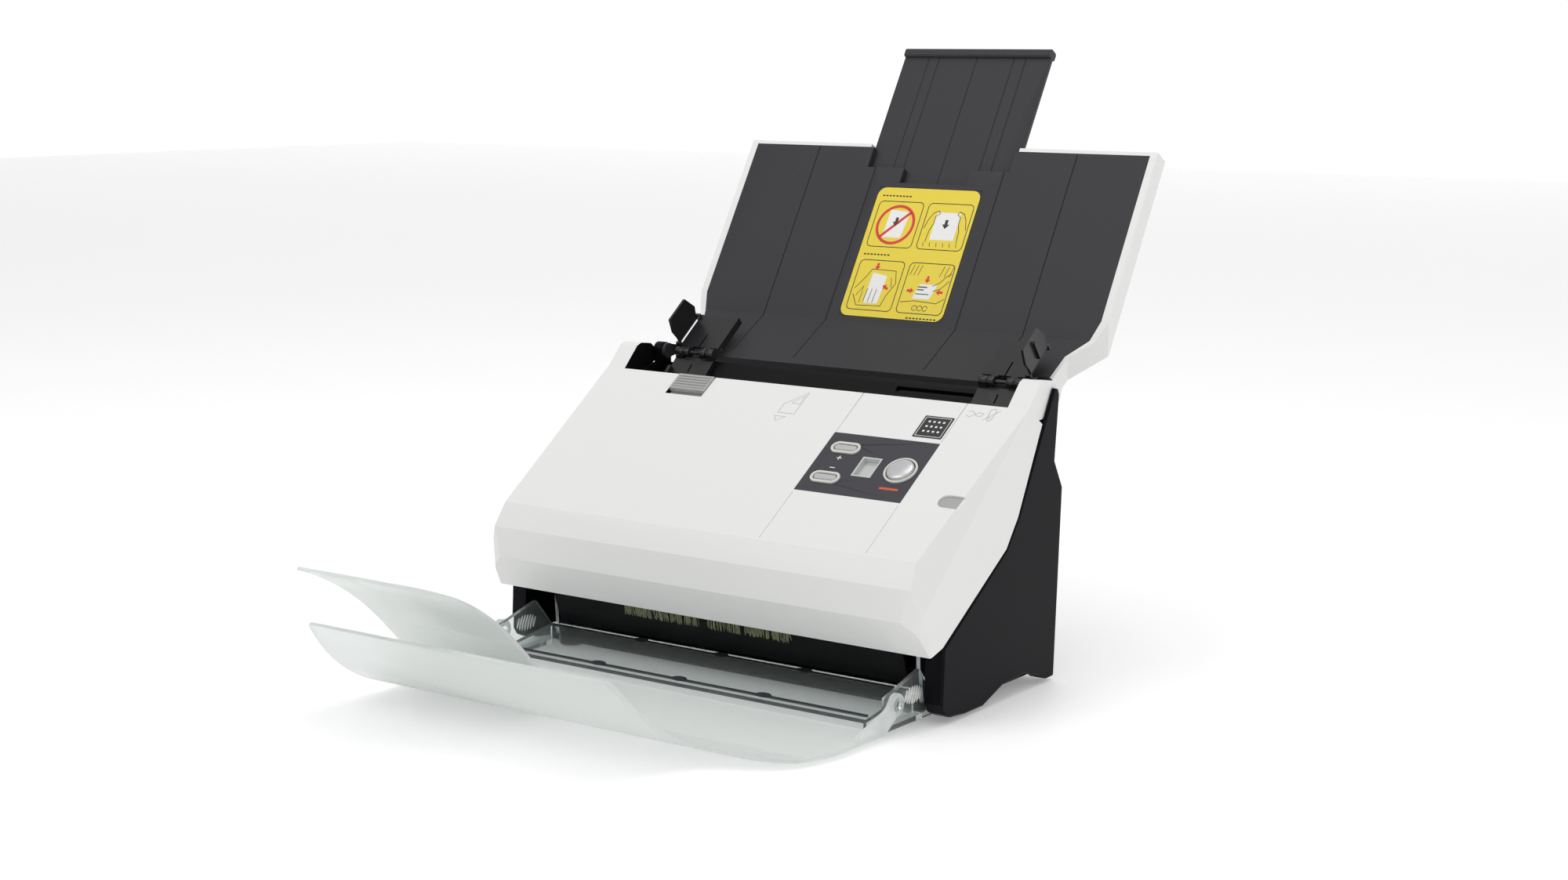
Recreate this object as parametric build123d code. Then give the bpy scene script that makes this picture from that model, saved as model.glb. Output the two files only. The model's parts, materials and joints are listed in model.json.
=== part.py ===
from build123d import *
import os
from math import atan2, cos, degrees, pi, radians, sin, sqrt

# Desktop sheet fed document scanner, opened out for use. Millimetres.
# X runs across the machine, Y to the rear, Z up from the surface it stands on.
# Side-view points are (Y, Z) pairs, with Y = 0 near the middle of the body.
# At the end everything is shifted along Y, so that the origin lies on the floor
# under the middle of the whole assembly's box.

# ---------------------------------------------------------------- driving sizes
body_width = 318.5          # over the two side covers
wall = 2.5                  # moulded walls
inner_wall = 1.9            # upper guide of the document path
split_gap = 0.5             # between neighbouring mouldings
run_gap = 0.05              # radial clearance of shafts and pins
move_gap = 0.4              # between pieces that pass each other

# front cover, side view
cover_slope = 33.5          # of the main face, from the horizontal
cover_face = 131.0          # up the slope
cover_front = (-62.4, 94.7)  # where the main face turns down
cover_brow = (-70.6, 80.5)
cover_nose = (-71.8, 62.0)
cover_lip = (-59.0, 41.2)   # lower edge, over the exit slot
cover_flat_half = 150.0     # half width of the main face at its front
cover_bevel_half = 157.0    # half width at the lower edge of the side bevel
cover_bevel_low = (-60.8, 69.9)
cover_hinge = (-54.0, 46.0)
# flats round the nose corner: normal in X and Y, then a point in from the side and back
nose_cuts = ((0.38, -0.92, 13.2, 0.0), (0.75, -0.66, 8.2, 0.0), (0.93, -0.37, 0.0, 13.8))

# side cover outline behind the front cover
split_top = (72.7, 177.0)
split_mid = (33.3, 106.1)
split_knee = (20.2, 89.5)
split_front = (-47.0, 44.9)
rear_top = (79.7, 170.2)
rear_notch = (76.2, 133.4)
rear_shoulder = (86.2, 116.4)
rear_foot = (80.6, 1.6)
horn_floor = 158.0          # above this only the outer skin of a side cover is left
horn_skin = 2.0

# document path: straight run at 45 degrees, then out over the tray
path_top = (90.5, 170.3)
path_angle = 45.0
path_run = 160.0
path_exit = (-43.0, 40.0)
path_gap = 3.0              # between lower and upper guide
path_half = 129.0
roller_rise = 1.0           # rollers stand this far out of the lower guide

# rollers: distance down the path, radii of the lower and the upper roller
feed_at, feed_r, separation_r = 62.0, 13.0, 11.0
drive_at, drive_r, drive_pinch_r = 95.0, 10.0, 7.0
exit_at, exit_r, exit_pinch_r = 160.0, 9.0, 6.0
shaft_r = 3.0
pinch_shaft_r = 2.0
tyre_half = 9.0
frame_x = 133.0             # inner face of a frame plate
frame_t = 2.5
bush_r = 5.5

# belts and pulleys outside the left frame plate
pulley_r = 7.0
belt_t = 1.2
belt_w = 2.6
belt_pitch = 3.4            # from one belt lane to the next
motor_at = (60.5, 58.0)
motor_r = 18.0
motor_length = 34.0

# image sensor units
sensor_at = 128.0
sensor_length = 34.0
sensor_depth = 26.0
sensor_half = 122.0
glass_t = 2.0

# paper chute
hinge_y, hinge_z = 87.4, 175.0
chute_lip = (96.5, 172.8)
chute_bend = (138.7, 197.3)
chute_angle = 59.0
chute_face = 128.5
chute_half = 150.5
chute_low_half = 140.5
chute_shell_half = 155.5
chute_panel_t = 4.0
chute_depth = 12.0          # panel face to the back of the shell
extension_out = 78.0
extension_half = 56.5
extension_step_half = 25.5
extension_t = 3.0
label_half = 39.5
label_low, label_high = 4.0, 99.0
label_t = 0.25

# document guides
guide_in = 100.0            # inner face of a guide when wide open
guide_out = 131.0
guide_travel = 66.0
guide_low_t = 3.6
guide_plate_low = (90.5, 178.7)
guide_plate_high = (114.0, 197.0)
guide_plate_t = 2.2
guide_knuckle_r = 3.4
guide_pin_r = 1.5
fence_depth = 5.0
ear_height = 20.0
ear_s = (2.0, 26.0)
ear_z = 1.2
rack_module = 1.0
pinion_teeth = 16
rack_length = 118.0
post_w = 3.0                # width of the post that joins a guide to its rack
pinion_hole_r = 3.0
pinion_down = 18.0          # pinion axis, down the path from its top
rack_cover_down, rack_cover_up, rack_cover_t = 13.5, 11.8, 0.8

# exit tray, tray extension and paper stop
tray_rear = (-36.5, 15.6)
tray_front = (-86.0, 8.6)
tray_t = 2.4
tray_half = 134.0
ear_in, ear_t = 140.0, 3.0
tray_pivot = (-73.6, 16.3)
tray_pin_r = 3.0
wing_bend_y = -150.0
wing_z = 4.4                # top of the flat part of the extension
wing_t = 2.4
wing_r = 92.0
wing_sweep = 61.0
wing_rear_y = -90.5
wing_half = 146.5
stop_hinge = (-141.0, 8.0)
stop_left, stop_right = -141.5, -37.0
stop_t = 2.2
stop_rise = 45.3
stop_straight = 53.0
stop_r = 175.0
stop_sweep = 27.0
stop_barrel_r = 2.8
stop_pin_r = 1.2

# controls on the main face: X and distance up the slope
panel_x, panel_s = (42.6, 116.1), (43.2, 94.6)
panel_t = 1.0
scan_x, scan_s, scan_r = 102.9, 68.8, 8.4
scan_ring = 2.0
pill_x, plus_s, minus_s = 57.6, 81.9, 56.0
pill_half, pill_high = 7.6, 4.4
pill_ring = 2.4
key_gap = 0.7               # between a key and the ring round it
button_proud = 1.4
window_x, window_s = (72.6, 86.2), (60.3, 77.2)
latch_x, latch_s = (-97.0, -69.3), (116.7, 130.6)
latch_travel = 4.0
notch_x, notch_s = (138.4, 166.0), (44.3, 54.7)
notch_deep = 1.5
groove_half, groove_deep = 0.3, 0.5
button_floor = -5.5         # underside of a key's flange, below the face
board_z = -11.5             # top of the key board, below the face
spring_r = 3.0              # room for a key's return spring

foot_r, foot_h, foot_x = 8.0, 3.0, 126.0
pan_front, pan_half = -36.0, 138.0
screw_r = 1.5
screw_x, screw_z = 125.0, (32.0, 104.0)
half = body_width / 2


# ---------------------------------------------------------------- small helpers
def prism(points, low, high):
    """Solid with a side-view outline, from X = low to X = high."""
    face = make_face(Polyline(*points, close=True))
    return extrude(Plane.YZ.offset(low) * face, high - low, dir=(1, 0, 0))


def rod(at, radius, low, high):
    """Round bar along X."""
    return extrude(Plane.YZ.offset(low) * Pos(*at) * Circle(radius), high - low, dir=(1, 0, 0))


def tube(at, outer, inner, low, high):
    """Hollow round bar along X."""
    return rod(at, outer, low, high) - rod(at, inner, low - 1, high + 1)


def mirrored(part):
    """The same piece on the other side of the machine."""
    return mirror(part, about=Plane.YZ)


def both(part):
    return part + mirrored(part)


def group(*solids):
    """Separate solids in one node."""
    return Compound([solid for part in solids for solid in part.solids()])


def ahead(point, angle, distance, side=0.0):
    """Side-view point reached by going along an angle, then sideways to its left."""
    a = radians(angle)
    return (point[0] + distance * cos(a) - side * sin(a),
            point[1] + distance * sin(a) + side * cos(a))


def heading(a, b):
    return degrees(atan2(b[1] - a[1], b[0] - a[0]))


def beside(points, distance):
    """The chain of points moved sideways to its left, with mitred corners."""
    angles = [heading(a, b) for a, b in zip(points, points[1:])]
    moved = [ahead(points[0], angles[0], 0, distance)]
    for point, before, after in zip(points[1:], angles, angles[1:]):
        middle = (before + after) / 2
        moved.append(ahead(point, middle, 0, distance / cos(radians(after - before) / 2)))
    moved.append(ahead(points[-1], angles[-1], 0, distance))
    return moved


def sheet(points, thickness, low, high):
    """Bent sheet along a chain of side-view points, thick to its right."""
    return prism(points + beside(points, -thickness)[::-1], low, high)


def slope_plane(origin, angle, x=0.0):
    """Plane with X across the machine, Y up the slope and Z standing off it."""
    a = radians(angle)
    return Plane(origin=(x, *origin), x_dir=(1, 0, 0), z_dir=(0, -sin(a), cos(a)))


def block(plane, x, s, z):
    """Box between pairs of limits, in a slope plane."""
    size = (x[1] - x[0], s[1] - s[0], z[1] - z[0])
    middle = Pos((x[0] + x[1]) / 2, (s[0] + s[1]) / 2, (z[0] + z[1]) / 2)
    return plane * middle * Box(*size)


# ---------------------------------------------------------------- derived places
cover_top = ahead(cover_front, cover_slope, cover_face)
face_plane = slope_plane(cover_front, cover_slope)
path_back = path_angle - 180
path_low = ahead(path_top, path_back, path_run)
path_chain = [path_top, path_low, path_exit]
path_plane = slope_plane(path_low, path_angle)
chute_top = ahead(chute_bend, chute_angle, chute_face)
chute_chain = [chute_lip, chute_bend, chute_top]
chute_plane = slope_plane(chute_bend, chute_angle)
chute_low_plane = slope_plane(chute_lip, heading(chute_lip, chute_bend))
chute_low_length = sqrt((chute_bend[0] - chute_lip[0]) ** 2 + (chute_bend[1] - chute_lip[1]) ** 2)
guide_angle = heading(guide_plate_low, guide_plate_high)
guide_plane = slope_plane(guide_plate_low, guide_angle)
guide_length = sqrt((guide_plate_high[0] - guide_plate_low[0]) ** 2
                    + (guide_plate_high[1] - guide_plate_low[1]) ** 2)
hinge_at = (hinge_y, hinge_z)
frame_out = frame_x + frame_t
cheek_in = frame_out + 12.0
ear_x = guide_out + 1.5
pinion_s = path_run - pinion_down
pinion_r = rack_module * pinion_teeth / 2
right_rack_s = pinion_s + pinion_r + 1.25 * rack_module + post_w / 2
left_rack_s = pinion_s - pinion_r - 1.25 * rack_module - post_w / 2
rack_z = (-wall - 3.4, -wall - 0.4)


def lower_centre(at, radius):
    return ahead(path_top, path_back, at, radius - roller_rise)


def upper_centre(at, radius):
    return ahead(path_top, path_back, at, -(radius + roller_rise + move_gap))


feed_c = lower_centre(feed_at, feed_r)
drive_c = lower_centre(drive_at, drive_r)
exit_c = lower_centre(exit_at, exit_r)
separation_c = upper_centre(feed_at, separation_r)
drive_pinch_c = upper_centre(drive_at, drive_pinch_r)
exit_pinch_c = upper_centre(exit_at, exit_pinch_r)


# ---------------------------------------------------------------- base
def side_outline(inset=0.0):
    """Outline of the right side cover, behind the split with the front cover."""
    front = beside([split_top, split_mid, split_knee, split_front], split_gap)
    low = [(-48.4, 12.0), (-44.5, 6.0), (-38.0, 3.0), (-22.0, 1.5), (-2.0, 1.5)]
    arch = [(20.0, 9.0), (46.0, 10.3), (66.0, 5.0), (72.0, 1.5)]
    rear = [rear_foot, rear_shoulder, rear_notch, rear_top, (77.3, 175.9)]
    face = make_face(Polyline(*front, *low, *arch, *rear, close=True))
    return offset(face, -inset, kind=Kind.INTERSECTION) if inset else face


def side_cover():
    shell = extrude(Plane.YZ.offset(cheek_in) * side_outline(), half - cheek_in, dir=(1, 0, 0))
    edge = shell.faces().sort_by(Axis.X)[-1].edges().filter_by(lambda e: e.length > 8)
    shell = chamfer(edge, 1.2)
    hollow = Plane.YZ.offset(cheek_in - 1) * side_outline(wall)
    shell -= extrude(hollow, half - wall - cheek_in + 1, dir=(1, 0, 0))
    horn_room = Pos(cheek_in - 1, 30, horn_floor) * Box(
        half - horn_skin - cheek_in + 1, 80, 40, align=(Align.MIN, Align.MIN, Align.MIN))
    return shell - horn_room


def bottom_pan():
    floor = prism([(pan_front, foot_h), (79.0, foot_h), (79.0, foot_h + wall), (pan_front, foot_h + wall)],
                  -pan_half, pan_half)
    wide = prism([(-16.0, foot_h), (79.0, foot_h), (79.0, foot_h + wall), (-16.0, foot_h + wall)],
                 -cheek_in + split_gap, cheek_in - split_gap)
    floor += wide
    for x, y in foot_places():
        floor -= Pos(x, y, foot_h) * Cylinder(2.0, 10)
    vents = [Pos(x, 20, foot_h) * Box(4, 40, 12) for x in range(-60, 61, 12)]
    return floor - vents


def foot_places():
    return [(x, y) for x in (-foot_x, foot_x) for y in (pan_front + foot_r, 68.0)]


def rubber_feet():
    feet = []
    for x, y in foot_places():
        base = Pos(x, y, 0) * Cylinder(foot_r, foot_h, align=(Align.CENTER, Align.CENTER, Align.MIN))
        stem = Pos(x, y, 0) * Cylinder(1.9, foot_h + wall, align=(Align.CENTER, Align.CENTER, Align.MIN))
        feet.append(chamfer(base.edges().group_by(Axis.Z)[0], 0.8) + stem)
    return group(*feet)


# rear cover in side view, from the pan up to the rear lip of the throat
rear_chain = [(79.5, foot_h + wall + split_gap), (85.0, 116.0), (87.5, 140.0), (94.5, 153.0), (94.5, 166.5)]
socket_x = {"power": 92.0, "usb": 60.0}


def rear_cover():
    inner = cheek_in - split_gap
    cover = sheet(rear_chain[::-1], wall, -inner, inner)
    for x, (wide, high) in {socket_x["power"]: (12.0, 12.0), socket_x["usb"]: (13.0, 12.0)}.items():
        cover -= Pos(x, 82, 40) * Box(wide, 16, high)
    slots = [Pos(x, 84, 70) * Box(3, 16, 34) for x in range(-100, -39, 8)]
    cover -= slots
    for x, z in screw_places():
        cover -= screw_place(x, z) * Cylinder(screw_r, 30)
    return cover + both(chute_lug())


def screw_places():
    return [(x, z) for x in (-screw_x, screw_x) for z in screw_z]


def rear_face(z):
    """Y of the rear cover's outer face below its shoulder."""
    low, high = rear_chain[0], rear_chain[1]
    return low[0] + (high[0] - low[0]) * (z - low[1]) / (high[1] - low[1]) + 0.02


def screw_place(x, z):
    """Place of a screw, square to the rear cover and pointing outwards."""
    return Pos(x, rear_face(z), z) * Rot(heading(rear_chain[0], rear_chain[1]) - 180, 0, 0)


def housing_screws():
    screws = []
    for x, z in screw_places():
        place = screw_place(x, z)
        head = place * Pos(0, 0, 0.7) * Cylinder(3.0, 1.4) - place * Pos(0, 0, 1.2) * Box(4.0, 0.8, 1.0)
        head -= place * Pos(0, 0, 1.2) * Box(0.8, 4.0, 1.0)
        screws.append(head + place * Pos(0, 0, -4.5) * Cylinder(screw_r - 0.05, 9.0))
    return group(*screws)


def chute_lug():
    """Ear at each end of the rear cover that carries the chute's hinge pin."""
    low, high = chute_low_half + move_gap, cheek_in - split_gap
    arm = prism([(86.0, 150.0), (94.0, 152.0), (93.0, hinge_z), (82.0, hinge_z)], low, high)
    return arm + rod(hinge_at, 5.5, low, high) - rod(hinge_at, guide_knuckle_r - 0.4, low - 1, high + 1)


def lower_guide():
    """Floor of the document path, with windows for the rollers and the rack slots."""
    floor = sheet(path_chain[::-1], wall, -path_half, path_half)
    wall_low = (tray_rear[0] + 1.5, tray_rear[1] + 1.0)
    floor += sheet([wall_low, path_exit], wall, -path_half, path_half)
    for at, radius in ((feed_c, feed_r), (drive_c, drive_r), (exit_c, exit_r)):
        for x in tyre_places(radius):
            floor -= rod(at, radius + 0.7, x - tyre_half - 0.8, x + tyre_half + 0.8)
    centre = path_run - sensor_at
    window = (centre - sensor_length / 2, centre + sensor_length / 2)
    floor -= block(path_plane, (-sensor_half - 0.5, sensor_half + 0.5), window, (-9, 9))
    for side, s in ((1, right_rack_s), (-1, left_rack_s)):
        near, far = guide_in - guide_travel + 7.5, guide_in + 18.5
        x = (near, far) if side > 0 else (-far, -near)
        floor -= block(path_plane, x, (s - post_w / 2 - 0.4, s + post_w / 2 + 0.4), (-9, 9))
    return floor + rack_cover() + pinion_stub()


def rack_cover():
    """Sheet under the racks and the pinion, hung from the floor at both ends."""
    s = (pinion_s - rack_cover_down, pinion_s + rack_cover_up)
    top = rack_z[0] - split_gap
    low = top - rack_cover_t
    cover = block(path_plane, (-path_half, path_half), s, (low, top))
    return cover + both(block(path_plane, (path_half - 1.5, path_half), s, (low, -1.0)))


def tyre_places(radius):
    return (-20.0, 20.0) if radius == feed_r else (-84.0, -28.0, 28.0, 84.0)


def frame_plate():
    """Right side plate that carries the shafts and the front cover's hinge arm."""
    outline = [(-32.0, 6.0), (76.0, 6.0), (76.0, 122.0), (60.0, 134.0), (46.0, 124.0),
               (20.0, 96.0), (-10.0, 66.0), (-30.0, 52.0), (-34.0, 38.0)]
    plate = prism(outline, frame_x, frame_out)
    for at in (feed_c, drive_c, exit_c):
        plate -= rod(at, bush_r, frame_x - 1, frame_out + 1)
    arm = prism([(-30.0, 42.0), (-30.0, 51.0), cover_hinge_up(), cover_hinge_down()], frame_x, frame_out)
    plate += arm + rod(cover_hinge, 4.5, frame_x, frame_out)
    plate -= rod(motor_at, shaft_r + run_gap, frame_x - 1, frame_out + 1)
    return plate + rod(cover_hinge, 3.0, frame_out, frame_out + 5.0)


def cover_hinge_up():
    return (cover_hinge[0], cover_hinge[1] + 4.4)


def cover_hinge_down():
    return (cover_hinge[0], cover_hinge[1] - 4.4)


def bushes():
    rings = [tube(at, bush_r, shaft_r + run_gap, frame_x, frame_out) for at in (feed_c, drive_c, exit_c)]
    return group(*rings, *[mirrored(ring) for ring in rings])


def roller_shaft(at):
    """Driven shaft, from the right frame plate to the pulley lanes on the left."""
    return rod(at, shaft_r, -cheek_in + 1.0, frame_out + 1.0)


def tyres(at, radius, places, bore):
    return group(*[tube(at, radius, bore, x - tyre_half, x + tyre_half) for x in places])


def lane(number):
    """X limits of a belt lane, counted outwards from the left frame plate."""
    start = -frame_out - 1.2 - number * belt_pitch
    return start - belt_w, start


def pulley(at, lanes):
    low = min(lane(number)[0] for number in lanes)
    high = max(lane(number)[1] for number in lanes)
    return tube(at, pulley_r, shaft_r, low, high)


def belt(first, second, number):
    """Flat belt round two equal pulleys."""
    low, high = lane(number)
    inner_r = pulley_r + 0.2
    angle = heading(first, second)
    span = sqrt((first[0] - second[0]) ** 2 + (first[1] - second[1]) ** 2)
    place = Plane.YZ.offset(low) * Pos(*first) * Rot(0, 0, angle) * Pos(span / 2, 0)
    loop = SlotCenterToCenter(span, 2 * (inner_r + belt_t)) - SlotCenterToCenter(span, 2 * inner_r)
    return extrude(place * loop, high - low, dir=(1, 0, 0))


def drive_motor():
    can = rod(motor_at, motor_r, -frame_x + 0.01, -frame_x + motor_length)
    boss = rod(motor_at, 6.0, -frame_x + motor_length, -frame_x + motor_length + 3)
    return chamfer(can.edges().sort_by(Axis.X)[-1], 1.5) + boss


def motor_shaft():
    low = lane(2)[0]
    return rod(motor_at, shaft_r, low - 0.5, -frame_x - 0.5) + pulley(motor_at, (2,))


def sensor_unit(upper):
    """Closed image sensor housing; its glass closes the side that faces the paper."""
    centre = path_run - sensor_at
    s = (centre - sensor_length / 2 + 0.5, centre + sensor_length / 2 - 0.5)
    near = path_gap + glass_t if upper else -glass_t
    far = near + sensor_depth if upper else near - sensor_depth
    z = (near, far) if upper else (far, near)
    housing = block(path_plane, (-sensor_half, sensor_half), s, z)
    inner_z = (near - 1, far - wall) if upper else (far + wall, near + 1)
    room = block(path_plane, (-sensor_half + wall, sensor_half - wall), (s[0] + wall, s[1] - wall), inner_z)
    return housing - room


def sensor_glass(upper):
    centre = path_run - sensor_at
    s = (centre - sensor_length / 2 + 0.5, centre + sensor_length / 2 - 0.5)
    z = (path_gap, path_gap + glass_t) if upper else (-glass_t, 0)
    return block(path_plane, (-sensor_half, sensor_half), s, z)


def main_board():
    board = Pos(30, 20, 14) * Box(150, 70, 1.6)
    chips = [Pos(x, y, 16.3) * Box(14, 14, 3) for x, y in ((10, 20), (44, 8), (70, 34))]
    pegs = [Pos(x, y, 10) * Cylinder(2.5, 9) for x in (-38, 98) for y in (-8, 48)]
    return board + chips + pegs


def socket(x, wide, high, bore_r):
    """Socket body behind the rear cover, open towards the rear."""
    body = Pos(x, 76.8, 40) * Box(wide, 10.0, high)
    if bore_r:
        body -= Pos(x, 78, 40) * Rot(90, 0, 0) * Cylinder(bore_r, 10)
        return body + Pos(x, 76, 40) * Rot(90, 0, 0) * Cylinder(1.2, 8)
    body -= Pos(x, 79, 40) * Box(wide - 3, 10, high - 3)
    return body + Pos(x, 77, 40) * Box(5.5, 8, 3.5)


# ---------------------------------------------------------------- document guide parts
def knuckles(spans, low_side):
    """Hinge eyes on the guide axis, each with a web to its own plate."""
    eyes = []
    for low, high in spans:
        eye = rod(hinge_at, guide_knuckle_r, low, high)
        if low_side:
            web = prism([(85.6, 168.2), (90.0, 172.6), (89.5, 174.0), (84.6, 173.6)], low, high)
        else:
            web = prism([(86.6, 175.6), (89.6, 173.9), (93.5, 178.9), (91.9, 179.8)], low, high)
        eyes.append(eye + web)
    bore = rod(hinge_at, guide_pin_r + run_gap, guide_in - 5, guide_out + 5)
    return eyes if low_side else [eye - bore for eye in eyes]


def guide_low(rack_s, toward):
    """Right guide's lower plate with its rack and hinge pin, sliding across the throat floor."""
    low_s = path_run - 30
    slab = block(path_plane, (guide_in, guide_out), (low_s, path_run - 2.5),
                 (move_gap, move_gap + guide_low_t))
    slab -= rod(hinge_at, guide_knuckle_r + 0.5, guide_in - 1, guide_out + 1)
    slab += knuckles([(guide_in + 0.5, guide_in + 6), (guide_out - 6, guide_out - 0.5)], True)
    slab += block(path_plane, (guide_out - 3, guide_out), (low_s, path_run - 12), (move_gap, 7.5))
    slab += block(path_plane, (guide_in + 8, guide_in + 18),
                  (rack_s - post_w / 2, rack_s + post_w / 2), (rack_z[0], 1.0))
    slab -= block(path_plane, (guide_in + 15, guide_in + 16), (path_run - 14, path_run - 7), (2.0, 9.0))
    return slab + guide_rack(rack_s, toward) + rod(hinge_at, guide_pin_r, guide_in + 0.5, guide_out - 0.5)


def tooth_half_width(height):
    """Half width of a rack tooth at a height above its pitch line, with backlash."""
    return pi * rack_module / 4 - 0.06 - height * sin(radians(20)) / cos(radians(20))


def guide_rack(rack_s, toward):
    """Right guide's rack; its teeth stand toward +1 or -1 up the slope."""
    pitch = pi * rack_module
    base = rack_s + toward * post_w / 2
    bar = block(path_plane, (guide_in + 8 - rack_length, guide_in + 8),
                (rack_s - post_w / 2, rack_s + post_w / 2), rack_z)
    root, tip = tooth_half_width(-1.25 * rack_module), tooth_half_width(0.9 * rack_module)
    teeth = []
    first = -int((rack_length - guide_in - 8) / pitch)
    for number in range(first, int(guide_in / pitch)):
        x = (number + 0.5) * pitch
        top = base + toward * 2.15 * rack_module
        corners = [(x - root, base), (x - tip, top), (x + tip, top), (x + root, base)]
        teeth.append(make_face(Polyline(*corners, close=True)))
    plane = path_plane.offset(rack_z[0])
    return bar + [extrude(plane * tooth, rack_z[1] - rack_z[0]) for tooth in teeth]


def involute(radius, base_r):
    """Angle swept by an involute between its base circle and a radius."""
    grow = sqrt(max(radius * radius / (base_r * base_r) - 1, 0))
    return grow - atan2(grow, 1)


def guide_pinion():
    """Spur pinion between the two racks, on its own stub under the throat floor."""
    base_r = pinion_r * cos(radians(20))
    outer = pinion_r + 0.9 * rack_module
    inner = pinion_r - 1.15 * rack_module
    at_pitch = (pi * rack_module / 4 - 0.06) / pinion_r + involute(pinion_r, base_r)
    radii = [max(inner, base_r) + (outer - max(inner, base_r)) * step / 4 for step in range(5)]
    flank = [(r, at_pitch - involute(r, base_r)) for r in radii]
    right = [(inner - 0.3, flank[0][1])] + flank
    gear = Circle(inner)
    for number in range(pinion_teeth):
        turn = 2 * pi * number / pinion_teeth + pi / 2
        side = [(r * cos(turn - a), r * sin(turn - a)) for r, a in right]
        other = [(r * cos(turn + a), r * sin(turn + a)) for r, a in reversed(right)]
        gear += make_face(Polyline(*side, *other, close=True))
    place = path_plane * Pos(0, pinion_s, rack_z[0])
    wheel = extrude(place * gear, rack_z[1] - rack_z[0])
    return wheel - place * Cylinder(pinion_hole_r + run_gap, 20)


def pinion_stub():
    place = path_plane * Pos(0, pinion_s, 0)
    align = (Align.CENTER, Align.CENTER, Align.MAX)
    pin = place * Cylinder(pinion_hole_r, move_gap - rack_z[0], align=align)
    low = path_plane * Pos(0, pinion_s, rack_z[0] - move_gap)
    return pin + low * Cylinder(pinion_hole_r + 2.5, 1.2, align=align)


def guide_plate():
    """Right guide's upper plate, with its fence, hinge eyes and ear lugs."""
    plate = block(guide_plane, (guide_in, guide_out), (0, guide_length), (-guide_plate_t, 0))
    fence = block(guide_plane, (guide_in, guide_in + 2.0), (3, guide_length), (-fence_depth, 0))
    plate += fence
    plate += knuckles([(guide_in + 6.4, guide_in + 11), (guide_out - 11, guide_out - 6.4)], False)
    plate -= block(guide_plane, (guide_in + 15, guide_in + 16), (-1, 12), (-9, 9))
    for s in (ear_s[0] - 2.4, ear_s[1] + 0.4):
        plate += block(guide_plane, (guide_out - 1, ear_x + 1.2), (s, s + 2.0), (-guide_plate_t, ear_z + 1.0))
    bore = guide_plane * Pos(ear_x, 12, ear_z) * Rot(90, 0, 0) * Cylinder(0.6 + run_gap, 60)
    return plate - bore


def guide_ear():
    """Faceted ear that stands on the outer edge of a guide plate."""
    low, high = ear_s
    outline = [(low, ear_z), (low, ear_z + 3.2), (low - 1.5, ear_height * 0.55), (low + 1.0, ear_height),
               (high - 3.0, ear_height), (high + 2.0, ear_height * 0.45), (high, ear_z + 3.2), (high, ear_z)]
    side = Plane(origin=guide_plane.from_local_coords(Vector(ear_x - 0.8, 0, 0)),
                 x_dir=guide_plane.y_dir, z_dir=guide_plane.x_dir)
    plate = extrude(side * make_face(Polyline(*outline, close=True)), 1.6)
    barrel_place = guide_plane * Pos(ear_x, (low + high) / 2, ear_z) * Rot(90, 0, 0)
    ear = plate + barrel_place * Cylinder(1.0, high - low)
    ear += block(guide_plane, (ear_x, ear_x + 2.6), ((low + high) / 2 - 0.8, (low + high) / 2 + 0.8),
                 (ear_z + 2, ear_height * 0.8))
    return ear + barrel_place * Cylinder(0.6, high - low + 4.0)


# ---------------------------------------------------------------- front cover
def corner_planes(inset=0.0):
    """Outward planes of the right side of the cover: bevel, side face and nose corner."""
    top = Vector(cover_bevel_half, *cover_top)
    front = Vector(cover_flat_half, *cover_front)
    low = Vector(cover_bevel_half, *cover_bevel_low)
    knee = Vector(half, *split_knee)
    bevel = (front - top).cross(low - top)
    side = (low - top).cross(knee - top)
    planes = []
    cuts = [(bevel, top), (side, top)]
    for normal_x, normal_y, in_from_side, back in nose_cuts:
        point = Vector(half - in_from_side, cover_nose[0] + back, cover_nose[1])
        cuts.append((Vector(normal_x, normal_y, -0.05), point))
    for normal, origin in cuts:
        outward = normal if normal.X > 0 else -normal
        planes.append(Plane(origin=origin, z_dir=outward.normalized()).offset(-inset))
    return planes


def trimmed(solid, inset=0.0):
    for plane in corner_planes(inset):
        solid = split(solid, bisect_by=plane, keep=Keep.BOTTOM)
        solid = mirrored(split(mirrored(solid), bisect_by=plane, keep=Keep.BOTTOM))
    return solid


cover_faces = [cover_top, cover_front, cover_brow, cover_nose, cover_lip]


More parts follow.
